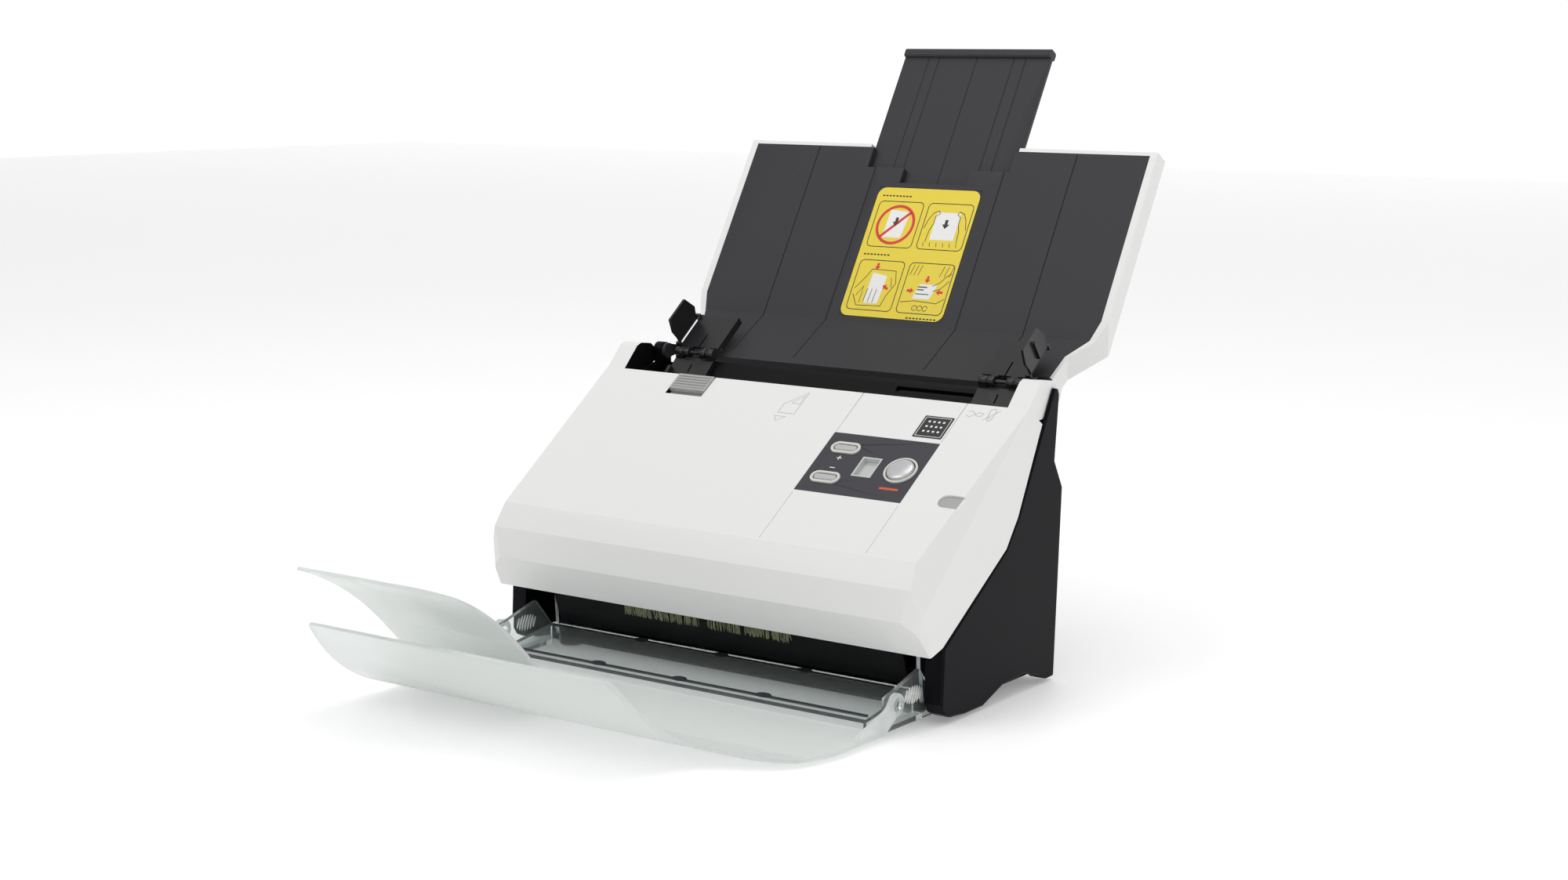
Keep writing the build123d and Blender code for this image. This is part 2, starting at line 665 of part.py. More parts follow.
def front_shell():
    """Outer shell of the front cover, open behind, with horns at its rear corners."""
    behind = [split_front, split_knee, split_mid, ahead(split_mid, heading(split_mid, split_top), 58)]
    outer = trimmed(prism(cover_faces + behind, -half, half))
    inner_front = beside(cover_faces, wall)
    inner_front[0] = ahead(inner_front[0], cover_slope, 30)
    inner_behind = beside(behind[:3], -20) + [(cover_top[0] + 40, cover_top[1] - 20)]
    inner_front[-1] = ahead(inner_front[-1], heading(cover_nose, cover_lip), 20)
    room = trimmed(prism(inner_front + inner_behind, -half, half), wall)
    shell = outer - room
    shell += both(horn())
    shell -= both(rod(cover_hinge, 5.6, frame_x - 0.5, frame_out + 4.9))
    notch = SlotOverall(notch_x[1] - notch_x[0], notch_s[1] - notch_s[0])
    notch_at = face_plane * Pos((notch_x[0] + notch_x[1]) / 2, (notch_s[0] + notch_s[1]) / 2, -notch_deep)
    shell -= notch_at * extrude(notch, 8)
    for x in (panel_x[0] + 0.4, panel_x[1] - 0.1):
        for s in ((1.5, panel_s[0] - 2), (panel_s[1] + 1, cover_face + 1)):
            shell -= block(face_plane, (x - groove_half, x + groove_half), s, (-groove_deep, 3))
    shell -= panel_recess()
    shell -= block(face_plane, (latch_x[0] - 0.4, latch_x[1] + 0.4),
                   (latch_s[0] - latch_travel - 0.4, cover_face + 5), (-9, 9))
    return shell


def horn():
    points = [(cover_top[0] - 4, cover_top[1] - 6), cover_top, (60.0, 180.5), (64.0, 182.0),
              (80.0, 180.0), (86.5, 175.0), (84.0, 168.0), (64.0, 159.5), (50.0, 158.5)]
    blade = prism(points, cover_flat_half - 7, cover_bevel_half - 0.2)
    rear_room = Pos(cheek_in - 20.1, 68, 150) * Box(20, 30, 40, align=(Align.MIN, Align.MIN, Align.MIN))
    return blade - rear_room


def panel_recess():
    """Recess for the control panel, with the wells for what stands in it."""
    recess = block(face_plane, panel_x, panel_s, (-panel_t, 5))
    wells = face_plane * Pos(scan_x, scan_s, 0) * Cylinder(scan_r + 1.0, 30)
    for s in (plus_s, minus_s):
        wells += face_plane * Pos(pill_x, s, -15) * extrude(pill(0.9), 30)
    wells += block(face_plane, window_x, window_s, (-9, 5))
    return recess + wells


def pill(grow):
    return SlotOverall(2 * (pill_half + grow), 2 * (pill_high / 2 + grow))


def control_panel():
    plate = block(face_plane, panel_x, panel_s, (-panel_t, 0.0))
    plate -= face_plane * Pos(scan_x, scan_s, 0) * Cylinder(scan_r + scan_ring + 0.02, 9)
    for s in (plus_s, minus_s):
        plate -= face_plane * Pos(pill_x, s, -4) * extrude(pill(pill_ring), 9)
    return plate - block(face_plane, window_x, window_s, (-9, 5))


def button_rings():
    place = face_plane * Pos(scan_x, scan_s, -panel_t)
    ring = place * (Cylinder(scan_r + scan_ring, panel_t + 1.0, align=(Align.CENTER, Align.CENTER, Align.MIN))
                    - Cylinder(scan_r + key_gap, 9))
    rings = [ring]
    for s in (plus_s, minus_s):
        oval = extrude(pill(pill_ring), panel_t + 1.0) - extrude(pill(key_gap), 9)
        rings.append(face_plane * Pos(pill_x, s, -panel_t) * oval)
    return group(*rings)


def display_window():
    tray = block(face_plane, window_x, window_s, (-5.0, -0.2))
    x = (window_x[0] + 1.2, window_x[1] - 1.2)
    s = (window_s[0] + 1.2, window_s[1] - 1.2)
    return tray - block(face_plane, x, s, (-3.5, 1))


def scan_button():
    align = (Align.CENTER, Align.CENTER, Align.MIN)
    place = face_plane * Pos(scan_x, scan_s, button_floor)
    cap = Cylinder(scan_r, button_proud - button_floor, align=align)
    cap = fillet(cap.edges().sort_by(Axis.Z)[-1], 0.8)
    cap += Cylinder(scan_r + 0.7, 1.5, align=align)
    return place * (cap - Pos(0, 0, -1) * Cylinder(spring_r + 0.6, 3))


def pill_button(s):
    cap = extrude(pill(0), 1.0 - button_floor)
    cap = chamfer(cap.edges().group_by(Axis.Z)[-1], 0.5) + extrude(pill(0.6), 1.5)
    cap -= Pos(0, 0, -1) * Cylinder(1.9, 3)
    return face_plane * Pos(pill_x, s, button_floor) * cap


def button_board():
    """Small circuit board under the keys, with its standoffs up to the shell."""
    board = block(face_plane, (46.0, 114.0), (46.0, 92.0), (board_z - 1.6, board_z))
    for x, s in ((44.5, 45.5), (44.5, 92.5), (114.6, 45.5), (114.6, 92.5)):
        board += face_plane * Pos(x, s, (board_z - 1.6 - wall) / 2) * Cylinder(2.0, -(board_z - 1.6) - wall)
    return board


def cover_latch():
    """Sliding release with a ribbed finger face and a hook behind."""
    s0, s1 = latch_s
    latch = block(face_plane, latch_x, latch_s, (-wall, 1.0))
    for number in range(5):
        s = s0 + 1.8 + number * 2.4
        latch += block(face_plane, (latch_x[0] + 1.5, latch_x[1] - 1.5), (s, s + 1.2), (0.9, 1.7))
    middle = (latch_x[0] + latch_x[1]) / 2
    latch += block(face_plane, (middle - 4, middle + 4), (s0 + 1, s1 - 7), (-7.0, -wall + 0.1))
    behind = (s0 + 2, s1 - 4)
    latch += block(face_plane, (latch_x[0] - 2.5, latch_x[1] + 2.5), behind, (-wall - 1.8, -wall - 0.3))
    return latch + block(face_plane, latch_x, behind, (-wall - 1.8, -wall + 0.1))


def cover_frame():
    """Upper guide of the document path with the ribs that carry the pinch rollers."""
    top = ahead(path_top, path_back, 44, -path_gap)
    bend = ahead(path_low, path_angle, 0, path_gap)
    lip = ahead(path_exit, path_angle, 0, path_gap + 0.5)
    mouth = (cover_top[0] + 1.5, cover_top[1] - 4.0)
    guide = sheet([mouth, top, bend, lip], inner_wall, -path_half, path_half)
    for at, radius, below in ((separation_c, separation_r, feed_r), (drive_pinch_c, drive_pinch_r, drive_r),
                              (exit_pinch_c, exit_pinch_r, exit_r)):
        for x in tyre_places(below):
            guide -= rod(at, radius + 0.7, x - tyre_half - 0.8, x + tyre_half + 0.8)
    centre = path_run - sensor_at
    guide -= block(path_plane, (-sensor_half - 0.5, sensor_half + 0.5),
                   (centre - sensor_length / 2, centre + sensor_length / 2), (0, 9))
    under = ahead(cover_front, cover_slope, 14, -wall)
    over = ahead(cover_front, cover_slope, 118, -wall)
    rib_high = ahead(top, path_angle, -6, inner_wall - 0.5)
    rib_low = ahead(bend, path_angle, 4, inner_wall - 0.5)
    rib = prism([under, over, rib_high, rib_low], path_half - wall, path_half)
    for at, radius in upper_shafts():
        rib -= rod(at, radius + run_gap, path_half - 9, path_half + 9)
    low, high = frame_out + 0.4, frame_out + 4.4
    eye = rod(cover_hinge, 5.2, low, high)
    post = prism([(-59.0, 47.0), (-49.0, 47.0), (-48.0, 63.0), (-58.0, 66.0)], low, high)
    bridge = prism([(-58.0, 60.5), (-48.0, 59.5), (-48.0, 63.0), (-58.0, 66.0)], path_half - wall, high)
    strut_points = [(-58.0, 60.5), (-48.0, 59.5), (-28.0, 69.0), (-30.0, 84.0), under]
    strut = prism(strut_points, path_half - wall, path_half)
    arm = eye + post - rod(cover_hinge, 3.0 + run_gap, low - 1, high + 1)
    return guide + both(rib + strut + bridge + arm)


def upper_shafts():
    return ((separation_c, shaft_r), (drive_pinch_c, pinch_shaft_r), (exit_pinch_c, pinch_shaft_r))


def pinch_shaft(at, radius):
    return rod(at, radius, -path_half - 1.5, path_half + 1.5)


def exit_brush():
    """Anti-static brush inside the cover's lower edge: a strip and three tufts."""
    lip_plane = slope_plane(cover_lip, heading(cover_lip, cover_nose))
    brush = block(lip_plane, (-118, 118), (1.5, 10.0), (-wall - 1.8, -wall))
    for x, wide in ((-78, 60), (-6, 28), (62, 56)):
        brush += Pos(x, -56.0, 40.8) * Box(wide, 1.0, 9.4)
    return brush


# ---------------------------------------------------------------- chute
def chute_zone(grow, low_grow):
    """Plan that the chute's sheets are cut to: wide above the bend, narrow below it."""
    wide, narrow = chute_half + grow, chute_low_half + low_grow
    front, rear = chute_bend[0] - 15, chute_bend[0] + 7
    right = [(narrow, 60), (narrow, front), (wide, rear), (wide, 460)]
    left = [(-x, y) for x, y in reversed(right)]
    return extrude(make_face(Polyline(*right, *left, close=True)), 500)


def chute_panel():
    panel = sheet(chute_chain, chute_panel_t, -chute_half, chute_half) & chute_zone(0, -wall - 0.1)
    top = chute_face
    panel -= block(chute_plane, (2 - extension_half, extension_half - 2), (top - 15, top + 9), (-9, 9))
    panel -= block(chute_plane, (-extension_step_half, extension_step_half), (top - 26, top + 9), (-9, 9))
    for x in (-98.0, -48.0, 51.0, 100.0):
        panel -= block(chute_plane, (x - 0.4, x + 0.4), (0, top + 2), (-0.6, 2))
        panel -= block(chute_low_plane, (x - 0.4, x + 0.4), (6, chute_low_length), (-0.6, 2))
    return panel - label_pocket()


def label_pocket():
    return block(chute_plane, (-label_half, label_half), (label_low, label_high), (-label_t, 3))


def chute_label():
    return block(chute_plane, (-label_half + 0.05, label_half - 0.05),
                 (label_low + 0.05, label_high - 0.05), (-label_t + 0.01, -0.02))


def chute_shell():
    """White back shell of the chute: a shallow tray behind the panel."""
    over = ahead(chute_top, chute_angle, 2.5)
    outer = [(chute_lip[0] + 3, chute_lip[1] + 1.5), chute_bend, over]
    body = sheet(outer, chute_depth, -chute_shell_half, chute_shell_half)
    body &= chute_zone(chute_shell_half - chute_half, 0)
    panel_room = sheet([ahead(chute_lip, 30, -20), chute_bend, chute_top], chute_panel_t + 0.05,
                       -chute_half - 0.1, chute_half + 0.1) & chute_zone(0.1, -wall)
    front_room = sheet([ahead(chute_lip, 30, -20), chute_bend, ahead(chute_top, chute_angle, 9)], -9,
                       -chute_half - 0.1, chute_half + 0.1) & chute_zone(0.1, -wall)
    inner = beside([ahead(chute_lip, 30, 8), chute_bend, chute_top], -chute_panel_t)
    room = sheet(inner, chute_depth - chute_panel_t - wall, -chute_shell_half, chute_shell_half)
    room &= chute_zone(0.1 - wall, -2 * wall)
    body = body - panel_room - room
    slot = block(chute_plane, (-extension_half - 0.5, extension_half + 0.5),
                 (chute_face - 5, chute_face + 9), (-chute_panel_t - extension_t - 0.8, 3))
    return body - slot + both(chute_arm())


def chute_arm():
    """Hinge arm at each lower corner of the chute, with its pin."""
    low, high = chute_low_half - wall, chute_low_half
    eye = rod(hinge_at, 5.0, low, high)
    arm = prism([(86.0, 170.2), (104.0, 173.5), (104.0, 177.0), (86.0, 179.8)], low, high)
    pin = rod(hinge_at, guide_knuckle_r - 0.4 - run_gap, high, cheek_in - split_gap - 0.5)
    return eye + arm + pin


def chute_extension():
    """Flat extension that slides out of the top of the chute, with a rolled lip."""
    top = chute_face + extension_out
    z = (-chute_panel_t - extension_t - 0.3, -chute_panel_t - 0.3)
    plate = block(chute_plane, (-extension_half, extension_half), (chute_face - 32, top), z)
    lip = block(chute_plane, (-extension_half, extension_half), (top - 6, top), (z[0] - 2.0, z[1] + 2.5))
    plate += chamfer(lip.edges().filter_by(Axis.X), 1.0)
    for x in (-37.0, -29.0, 0.5, 29.0, 38.0):
        plate -= block(chute_plane, (x - 0.4, x + 0.4), (chute_face - 30, top - 6.5), (z[1] - 0.5, z[1] + 1))
    return plate


# ---------------------------------------------------------------- tray
def output_tray():
    """Clear tray with a side ear at each end that carries the extension's pivot."""
    plate = sheet([tray_front, tray_rear], tray_t, -tray_half, tray_half)
    web = prism([(tray_front[0], 1.2), (-40.0, 1.2), (-40.0, 14.0), (tray_front[0], 7.5)],
                tray_half - 2, tray_half)
    ledge = prism([(tray_front[0], 1.2), (-40.0, 1.2), (-40.0, 3.4), (tray_front[0], 3.4)],
                  tray_half - 2, ear_in + ear_t)
    ear = prism([(tray_front[0], 1.2), (-21.0, 1.2), (-45.5, 30.1), (-80.0, 20.5), (-81.0, 10.0)],
                ear_in, ear_in + ear_t)
    pin = rod(tray_pivot, tray_pin_r, ear_in + ear_t, wing_half + 0.4)
    cap = rod(tray_pivot, tray_pin_r + 1.2, wing_half + 0.4, wing_half + 1.2)
    grips = [rod((-55.0 + 3.2 * n, 17.0 - 1.4 * n), 1.1, ear_in + ear_t, ear_in + ear_t + 0.4)
             for n in range(-2, 3)]
    return plate + both(web + ledge + ear + pin + cap + grips)


def tray_wing():
    """Frosted tray extension: two arms, a flat floor and a curved lip, cut to an S on the right."""
    bend = (wing_bend_y, wing_z)
    centre = (wing_bend_y, wing_z + wing_r)
    start, end = 270, 270 - wing_sweep
    upper = CenterArc((*centre, 0), wing_r, start, -wing_sweep)
    lower = CenterArc((*centre, 0), wing_r + wing_t, end, wing_sweep)
    floor = [Line((wing_rear_y, wing_z), bend), upper, Line(upper @ 1, lower @ 0), lower,
             Line((wing_bend_y, wing_z - wing_t), (wing_rear_y, wing_z - wing_t)),
             Line((wing_rear_y, wing_z - wing_t), (wing_rear_y, wing_z))]
    face = make_face(floor)
    body = extrude(Plane.YZ.offset(-wing_half) * face, 2 * wing_half, dir=(1, 0, 0))
    body &= wing_outline()
    arm = prism([(-118.0, wing_z - wing_t), (-86.0, wing_z - wing_t), (-71.0, 12.0),
                 (-76.0, 21.0), (-84.0, 15.0), (-110.0, wing_z + 3)], ear_in + ear_t + 0.5, wing_half)
    arm += rod(tray_pivot, 6.5, ear_in + ear_t + 0.5, wing_half)
    body += both(arm)
    for low, high in ((-wing_half, stop_left - 0.8), (stop_right + 0.8, stop_right + 4.8)):
        y, z = stop_hinge
        foot_z = wing_z - wing_t
        body += prism([(y - 6, foot_z), (y + 6, foot_z), (y + 3, z + 3), (y - 3, z + 3)], low, high)
    body -= both(rod(tray_pivot, tray_pin_r + run_gap, ear_in, wing_half + 3))
    return body - rod(stop_hinge, stop_pin_r, -wing_half - 1, stop_right + 9)


def wing_outline():
    """Plan of the wing: full width by the arms, an S on the right, cut back to the lip."""
    tip_y = wing_bend_y - wing_r - 5
    left = Polyline((wing_half, -60), (-wing_half - 1, -60), (-wing_half - 1, tip_y), (66, tip_y), (66, -233))
    bends = [(79, -222), (87, -197), (106, -182), (131, -167), (143, -146)]
    curve = Spline((66, -233), *bends, (wing_half, -118))
    close = Line((wing_half, -118), (wing_half, -60))
    return extrude(Plane.XY * make_face([left, curve, close]), 90)


def paper_stop():
    """Curved tongue that leans forward over the wing and stops the paper."""
    direction = 180 - stop_rise
    start = ahead(stop_hinge, direction, 0, stop_barrel_r - stop_t)
    end = ahead(start, direction, stop_straight)
    centre = ahead(end, direction + 90, stop_r)
    outer = CenterArc((*centre, 0), stop_r, direction - 90, stop_sweep)
    inner = CenterArc((*centre, 0), stop_r - stop_t, direction - 90 + stop_sweep, -stop_sweep)
    base = ahead(start, direction + 90, stop_t)
    profile = [Line(start, outer @ 0), outer, Line(outer @ 1, inner @ 0), inner,
               Line(inner @ 1, base), Line(base, start)]
    body = extrude(Plane.YZ.offset(stop_left) * make_face(profile), stop_right - stop_left, dir=(1, 0, 0))
    reach = stop_straight + stop_r * sin(radians(stop_sweep)) - 0.2
    width = stop_right - stop_left
    plan = Pos((stop_left + stop_right) / 2, reach - 100) * Rectangle(width, 200)
    plan = fillet(plan.vertices().group_by(Axis.Y)[-1].sort_by(Axis.X)[-1], 28)
    plan = fillet(plan.vertices().group_by(Axis.Y)[-1].sort_by(Axis.X)[0], 8)
    body &= extrude(slope_plane(start, direction, 0).offset(-60) * plan, 120)
    body += rod(stop_hinge, stop_barrel_r, stop_left, stop_right)
    return body - rod(stop_hinge, stop_pin_r + run_gap, stop_left - 1, stop_right + 1)


def stop_pin():
    return rod(stop_hinge, stop_pin_r, -wing_half + 0.4, stop_right + 4.4)


# ---------------------------------------------------------------- nodes
def driven_roller(name, at, radius, lanes):
    """Nodes of a lower roller: its shaft with pulleys, and its tyres."""
    shaft = roller_shaft(at) + pulley(at, lanes)
    return {name + "_shaft": shaft, name + "_tyres": tyres(at, radius, tyre_places(radius), shaft_r)}


def pinch_roller(name, at, radius, bore, places):
    """Nodes of an upper roller: its shaft and its tyres."""
    return {name + "_shaft": pinch_shaft(at, bore), name + "_tyres": tyres(at, radius, places, bore)}


def base_nodes():
    return {
        "bottom_pan": bottom_pan(),
        "right_side_cover": side_cover(),
        "left_side_cover": mirrored(side_cover()),
        "rear_cover": rear_cover(),
        "lower_guide": lower_guide(),
        "right_frame_plate": frame_plate(),
        "left_frame_plate": mirrored(frame_plate()),
        "shaft_bushes": bushes(),
        "main_board": main_board(),
        "drive_motor": drive_motor(),
        "drive_belts": group(belt(feed_c, drive_c, 0), belt(drive_c, exit_c, 1), belt(drive_c, motor_at, 2)),
        "lower_sensor": sensor_unit(False),
        "lower_sensor_glass": sensor_glass(False),
        "power_inlet": socket(socket_x["power"], 11.6, 11.6, 3.0),
        "usb_socket": socket(socket_x["usb"], 12.6, 11.6, 0),
        "rubber_feet": rubber_feet(),
        "housing_screws": housing_screws(),
    }


def drive_nodes():
    return {
        **driven_roller("feed_roller", feed_c, feed_r, (0,)),
        **driven_roller("drive_roller", drive_c, drive_r, (0, 1, 2)),
        **driven_roller("exit_roller", exit_c, exit_r, (1,)),
        "motor_shaft": motor_shaft(),
        **pinch_roller("separation_roller", separation_c, separation_r, shaft_r, tyre_places(feed_r)),
        **pinch_roller("drive_pinch", drive_pinch_c, drive_pinch_r, pinch_shaft_r, tyre_places(drive_r)),
        **pinch_roller("exit_pinch", exit_pinch_c, exit_pinch_r, pinch_shaft_r, tyre_places(exit_r)),
    }


def cover_nodes():
    return {
        "front_cover": front_shell(),
        "cover_frame": cover_frame(),
        "upper_sensor": sensor_unit(True),
        "upper_sensor_glass": sensor_glass(True),
        "control_panel": control_panel(),
        "button_rings": button_rings(),
        "display_window": display_window(),
        "button_board": button_board(),
        "scan_button": scan_button(),
        "plus_button": pill_button(plus_s),
        "minus_button": pill_button(minus_s),
        "cover_latch": cover_latch(),
        "exit_brush": exit_brush(),
    }


def paper_nodes():
    return {
        "chute_panel": chute_panel(),
        "chute_shell": chute_shell(),
        "chute_label": chute_label(),
        "chute_extension": chute_extension(),
        "right_guide": guide_low(right_rack_s, -1),
        "left_guide": mirrored(guide_low(left_rack_s, 1)),
        "guide_pinion": guide_pinion(),
        "right_guide_plate": guide_plate(),
        "left_guide_plate": mirrored(guide_plate()),
        "right_guide_ear": guide_ear(),
        "left_guide_ear": mirrored(guide_ear()),
        "output_tray": output_tray(),
        "tray_extension": tray_wing(),
        "paper_stop": paper_stop(),
        "stop_pin": stop_pin(),
    }


nodes = {**base_nodes(), **drive_nodes(), **cover_nodes(), **paper_nodes()}
boxes = [node.bounding_box() for node in nodes.values()]
middle_y = (min(box.min.Y for box in boxes) + max(box.max.Y for box in boxes)) / 2
os.makedirs("parts", exist_ok=True)
for name, node in nodes.items():
    export_step(Pos(0, -middle_y, 0) * node, "parts/" + name + ".step")
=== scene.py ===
import json
import math
import random

import bmesh
import bpy
from mathutils import Matrix, Vector
from mathutils.geometry import tessellate_polygon


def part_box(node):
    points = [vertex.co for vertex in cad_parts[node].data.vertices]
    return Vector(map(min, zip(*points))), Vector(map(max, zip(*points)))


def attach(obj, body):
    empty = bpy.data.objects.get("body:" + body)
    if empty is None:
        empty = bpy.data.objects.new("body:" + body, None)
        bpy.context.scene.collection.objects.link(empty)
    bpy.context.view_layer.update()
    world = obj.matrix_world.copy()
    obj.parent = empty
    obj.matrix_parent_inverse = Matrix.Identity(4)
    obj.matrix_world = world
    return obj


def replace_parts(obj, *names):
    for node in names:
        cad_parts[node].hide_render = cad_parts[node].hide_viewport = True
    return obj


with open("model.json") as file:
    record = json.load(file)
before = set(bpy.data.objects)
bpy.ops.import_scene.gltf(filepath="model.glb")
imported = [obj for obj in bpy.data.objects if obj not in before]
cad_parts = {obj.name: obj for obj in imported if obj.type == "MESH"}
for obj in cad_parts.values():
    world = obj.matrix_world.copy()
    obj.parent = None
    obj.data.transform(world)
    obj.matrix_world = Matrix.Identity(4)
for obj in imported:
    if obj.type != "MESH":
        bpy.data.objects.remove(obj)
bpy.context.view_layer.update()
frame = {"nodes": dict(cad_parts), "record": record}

# The scanner's visual model, in metres in the CAD frame. Sizes below are millimetres in
# the frame that the sub-parts were drawn in, whose Y is shifted from this one by SHIFT.
MM = 0.001
NOSE_Y = -71.8
SHIFT = NOSE_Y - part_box("front_cover")[0].y / MM
SPREAD = random.Random(7)


# ---------------------------------------------------------------- camera
def place_camera():
    """Three-quarter view from the right, slightly above, with a small roll."""
    azimuth, elevation, roll = (math.radians(a) for a in (35.213, 9.309, 0.273))
    back = Vector((math.sin(azimuth) * math.cos(elevation),
                   -math.cos(azimuth) * math.cos(elevation), math.sin(elevation)))
    right = Vector((math.cos(azimuth), math.sin(azimuth), 0))
    up = back.cross(right)
    turned = right * math.cos(roll) + up * math.sin(roll)
    upward = up * math.cos(roll) - right * math.sin(roll)
    data = bpy.data.cameras.new("camera")
    data.lens, data.sensor_width = 54.60, 36.0
    camera = bpy.data.objects.new("camera", data)
    bpy.context.scene.collection.objects.link(camera)
    camera.matrix_world = Matrix((
        (turned.x, upward.x, back.x, 824.9 * MM),
        (turned.y, upward.y, back.y, (-1144.7 - SHIFT) * MM),
        (turned.z, upward.z, back.z, 371.3 * MM),
        (0, 0, 0, 1)))
    bpy.context.scene.camera = camera


# ---------------------------------------------------------------- materials
def material(name, color, roughness, metallic=0.0, grain=0.0, grain_scale=1800.0, **extra):
    """Principled material with an optional fine moulded grain."""
    made = bpy.data.materials.new(name)
    made.use_nodes = True
    tree = made.node_tree
    shader = tree.nodes["Principled BSDF"]
    shader.inputs["Base Color"].default_value = (*color, 1)
    shader.inputs["Roughness"].default_value = roughness
    shader.inputs["Metallic"].default_value = metallic
    for key, value in extra.items():
        shader.inputs[key.replace("_", " ")].default_value = value
    if grain:
        coordinate = tree.nodes.new("ShaderNodeTexCoord")
        noise = tree.nodes.new("ShaderNodeTexNoise")
        noise.inputs["Scale"].default_value = grain_scale
        noise.inputs["Detail"].default_value = 3
        bump = tree.nodes.new("ShaderNodeBump")
        bump.inputs["Strength"].default_value = grain
        bump.inputs["Distance"].default_value = 0.0001
        tree.links.new(coordinate.outputs["Object"], noise.inputs["Vector"])
        tree.links.new(noise.outputs["Fac"], bump.inputs["Height"])
        tree.links.new(bump.outputs["Normal"], shader.inputs["Normal"])
    return made


def make_materials():
    """One material for each slot of the record, and those of the printed marks."""
    return {
        "white_shell": material("white_shell", (0.86, 0.86, 0.85), 0.42, grain=0.12),
        "black_shell": material("black_shell", (0.004, 0.004, 0.006), 0.42, grain=0.15,
                                Specular_IOR_Level=0.07),
        "charcoal": material("charcoal", (0.034, 0.034, 0.038), 0.5, grain=0.3, Specular_IOR_Level=0.3),
        "guide_black": material("guide_black", (0.014, 0.014, 0.016), 0.3, grain=0.1),
        "black_inner": material("black_inner", (0.005, 0.005, 0.006), 0.4, grain=0.2,
                                Specular_IOR_Level=0.12),
        "steel": material("steel", (0.55, 0.56, 0.58), 0.32, 1.0, grain=0.1),
        "roller_rubber": material("roller_rubber", (0.05, 0.05, 0.055), 0.8, grain=0.4),
        "belt_rubber": material("belt_rubber", (0.012, 0.012, 0.012), 0.7, grain=0.3),
        "bush_brass": material("bush_brass", (0.70, 0.50, 0.22), 0.35, 1.0),
        "board": material("board", (0.02, 0.15, 0.06), 0.35),
        "sensor_black": material("sensor_black", (0.012, 0.012, 0.012), 0.5, grain=0.2),
        "sensor_glass": material("sensor_glass", (0.75, 0.85, 0.85), 0.03,
                                 Transmission_Weight=1.0, IOR=1.5),
        "socket_black": material("socket_black", (0.01, 0.01, 0.01), 0.4),
        "foot_rubber": material("foot_rubber", (0.02, 0.02, 0.02), 0.8, grain=0.4),
        "screw_steel": material("screw_steel", (0.14, 0.14, 0.15), 0.35, 1.0),
        "clear_tray": material("clear_tray", (0.90, 0.95, 0.94), 0.06,
                               Transmission_Weight=0.92, IOR=1.30),
        "frosted_tray": material("frosted_tray", (0.965, 0.99, 0.975), 0.40, grain=0.12,
                                 Transmission_Weight=0.55, IOR=1.18),
        "slate_panel": material("slate_panel", (0.035, 0.032, 0.042), 0.42, grain=0.15),
        "cream_ring": material("cream_ring", (0.70, 0.69, 0.64), 0.32),
        "pearl_button": material("pearl_button", (0.62, 0.62, 0.62), 0.26, 0.45),
        "window_grey": material("window_grey", (0.60, 0.62, 0.61), 0.35),
        "latch_grey": material("latch_grey", (0.42, 0.42, 0.41), 0.4, grain=0.15),
        "brush_fibre": material("brush_fibre", (0.24, 0.27, 0.15), 0.8),
        "label_yellow": material("label_yellow", (0.85, 0.67, 0.035), 0.38),
        "nylon": material("nylon", (0.72, 0.70, 0.60), 0.45),
        "ink_black": material("ink_black", (0.015, 0.015, 0.015), 0.45),
        "ink_white": material("ink_white", (0.88, 0.88, 0.86), 0.45),
        "ink_red": material("ink_red", (0.70, 0.03, 0.03), 0.45),
        "ink_grey": material("ink_grey", (0.50, 0.50, 0.50), 0.45),
        "ink_orange": material("ink_orange", (0.62, 0.10, 0.03), 0.45),
    }


GUIDE_NODES = ("right_guide", "left_guide", "right_guide_plate", "left_guide_plate",
               "right_guide_ear", "left_guide_ear")
CRISP_ENDINGS = ("_tyres", "_glass", "belts", "bushes")
EDGE_DEFAULT = 0.25
EDGE_WIDTH = {"front_cover": 1.3, "chute_shell": 1.2, "right_side_cover": 0.8,
              "left_side_cover": 0.8, "chute_panel": 0.5, "chute_extension": 0.4}
ARM_REAR = 108.0        # the chute shell is black in front of this Y
HORN_INSIDE = 148.0     # inner faces of the horns lie within this X
HORN_FOOT = 157.0       # and above this Z


def dress_nodes(materials):
    """Gives every CAD node its slot's look, the guides a darker one, and softens most edges."""
    for entry in frame["record"]["subparts"]:
        node = frame["nodes"][entry["node"]]
        node.data.materials.clear()
        look = "guide_black" if entry["node"] in GUIDE_NODES else entry["material_slot"]
        node.data.materials.append(materials[look])
        if not entry["node"].endswith(CRISP_ENDINGS):
            soften(node, EDGE_WIDTH.get(entry["node"], EDGE_DEFAULT))


def darken_hinge_ends(materials):
    """The chute's hinge arms and the inner faces of the cover's horns are black."""
    shell = frame["nodes"]["chute_shell"].data
    shell.materials.append(materials["charcoal"])
    for face in shell.polygons:
        if face.center.y < (ARM_REAR - SHIFT) * MM:
            face.material_index = 1
    cover = frame["nodes"]["front_cover"].data
    cover.materials.append(materials["black_inner"])
    for face in cover.polygons:
        inward = face.normal.x * face.center.x < -0.9 * abs(face.center.x)
        if inward and abs(face.center.x) < HORN_INSIDE * MM and face.center.z > HORN_FOOT * MM:
            face.material_index = 1


def soften(node, width):
    """Rounds a moulding's edges without changing its mesh."""
    weld = node.modifiers.new("weld", "WELD")
    weld.merge_threshold = 0.000005
    bevel = node.modifiers.new("edge", "BEVEL")
    bevel.width = width * MM
    bevel.segments = 2
    bevel.limit_method = "ANGLE"
    bevel.angle_limit = math.radians(24)
    bevel.use_clamp_overlap = True
    bevel.harden_normals = True


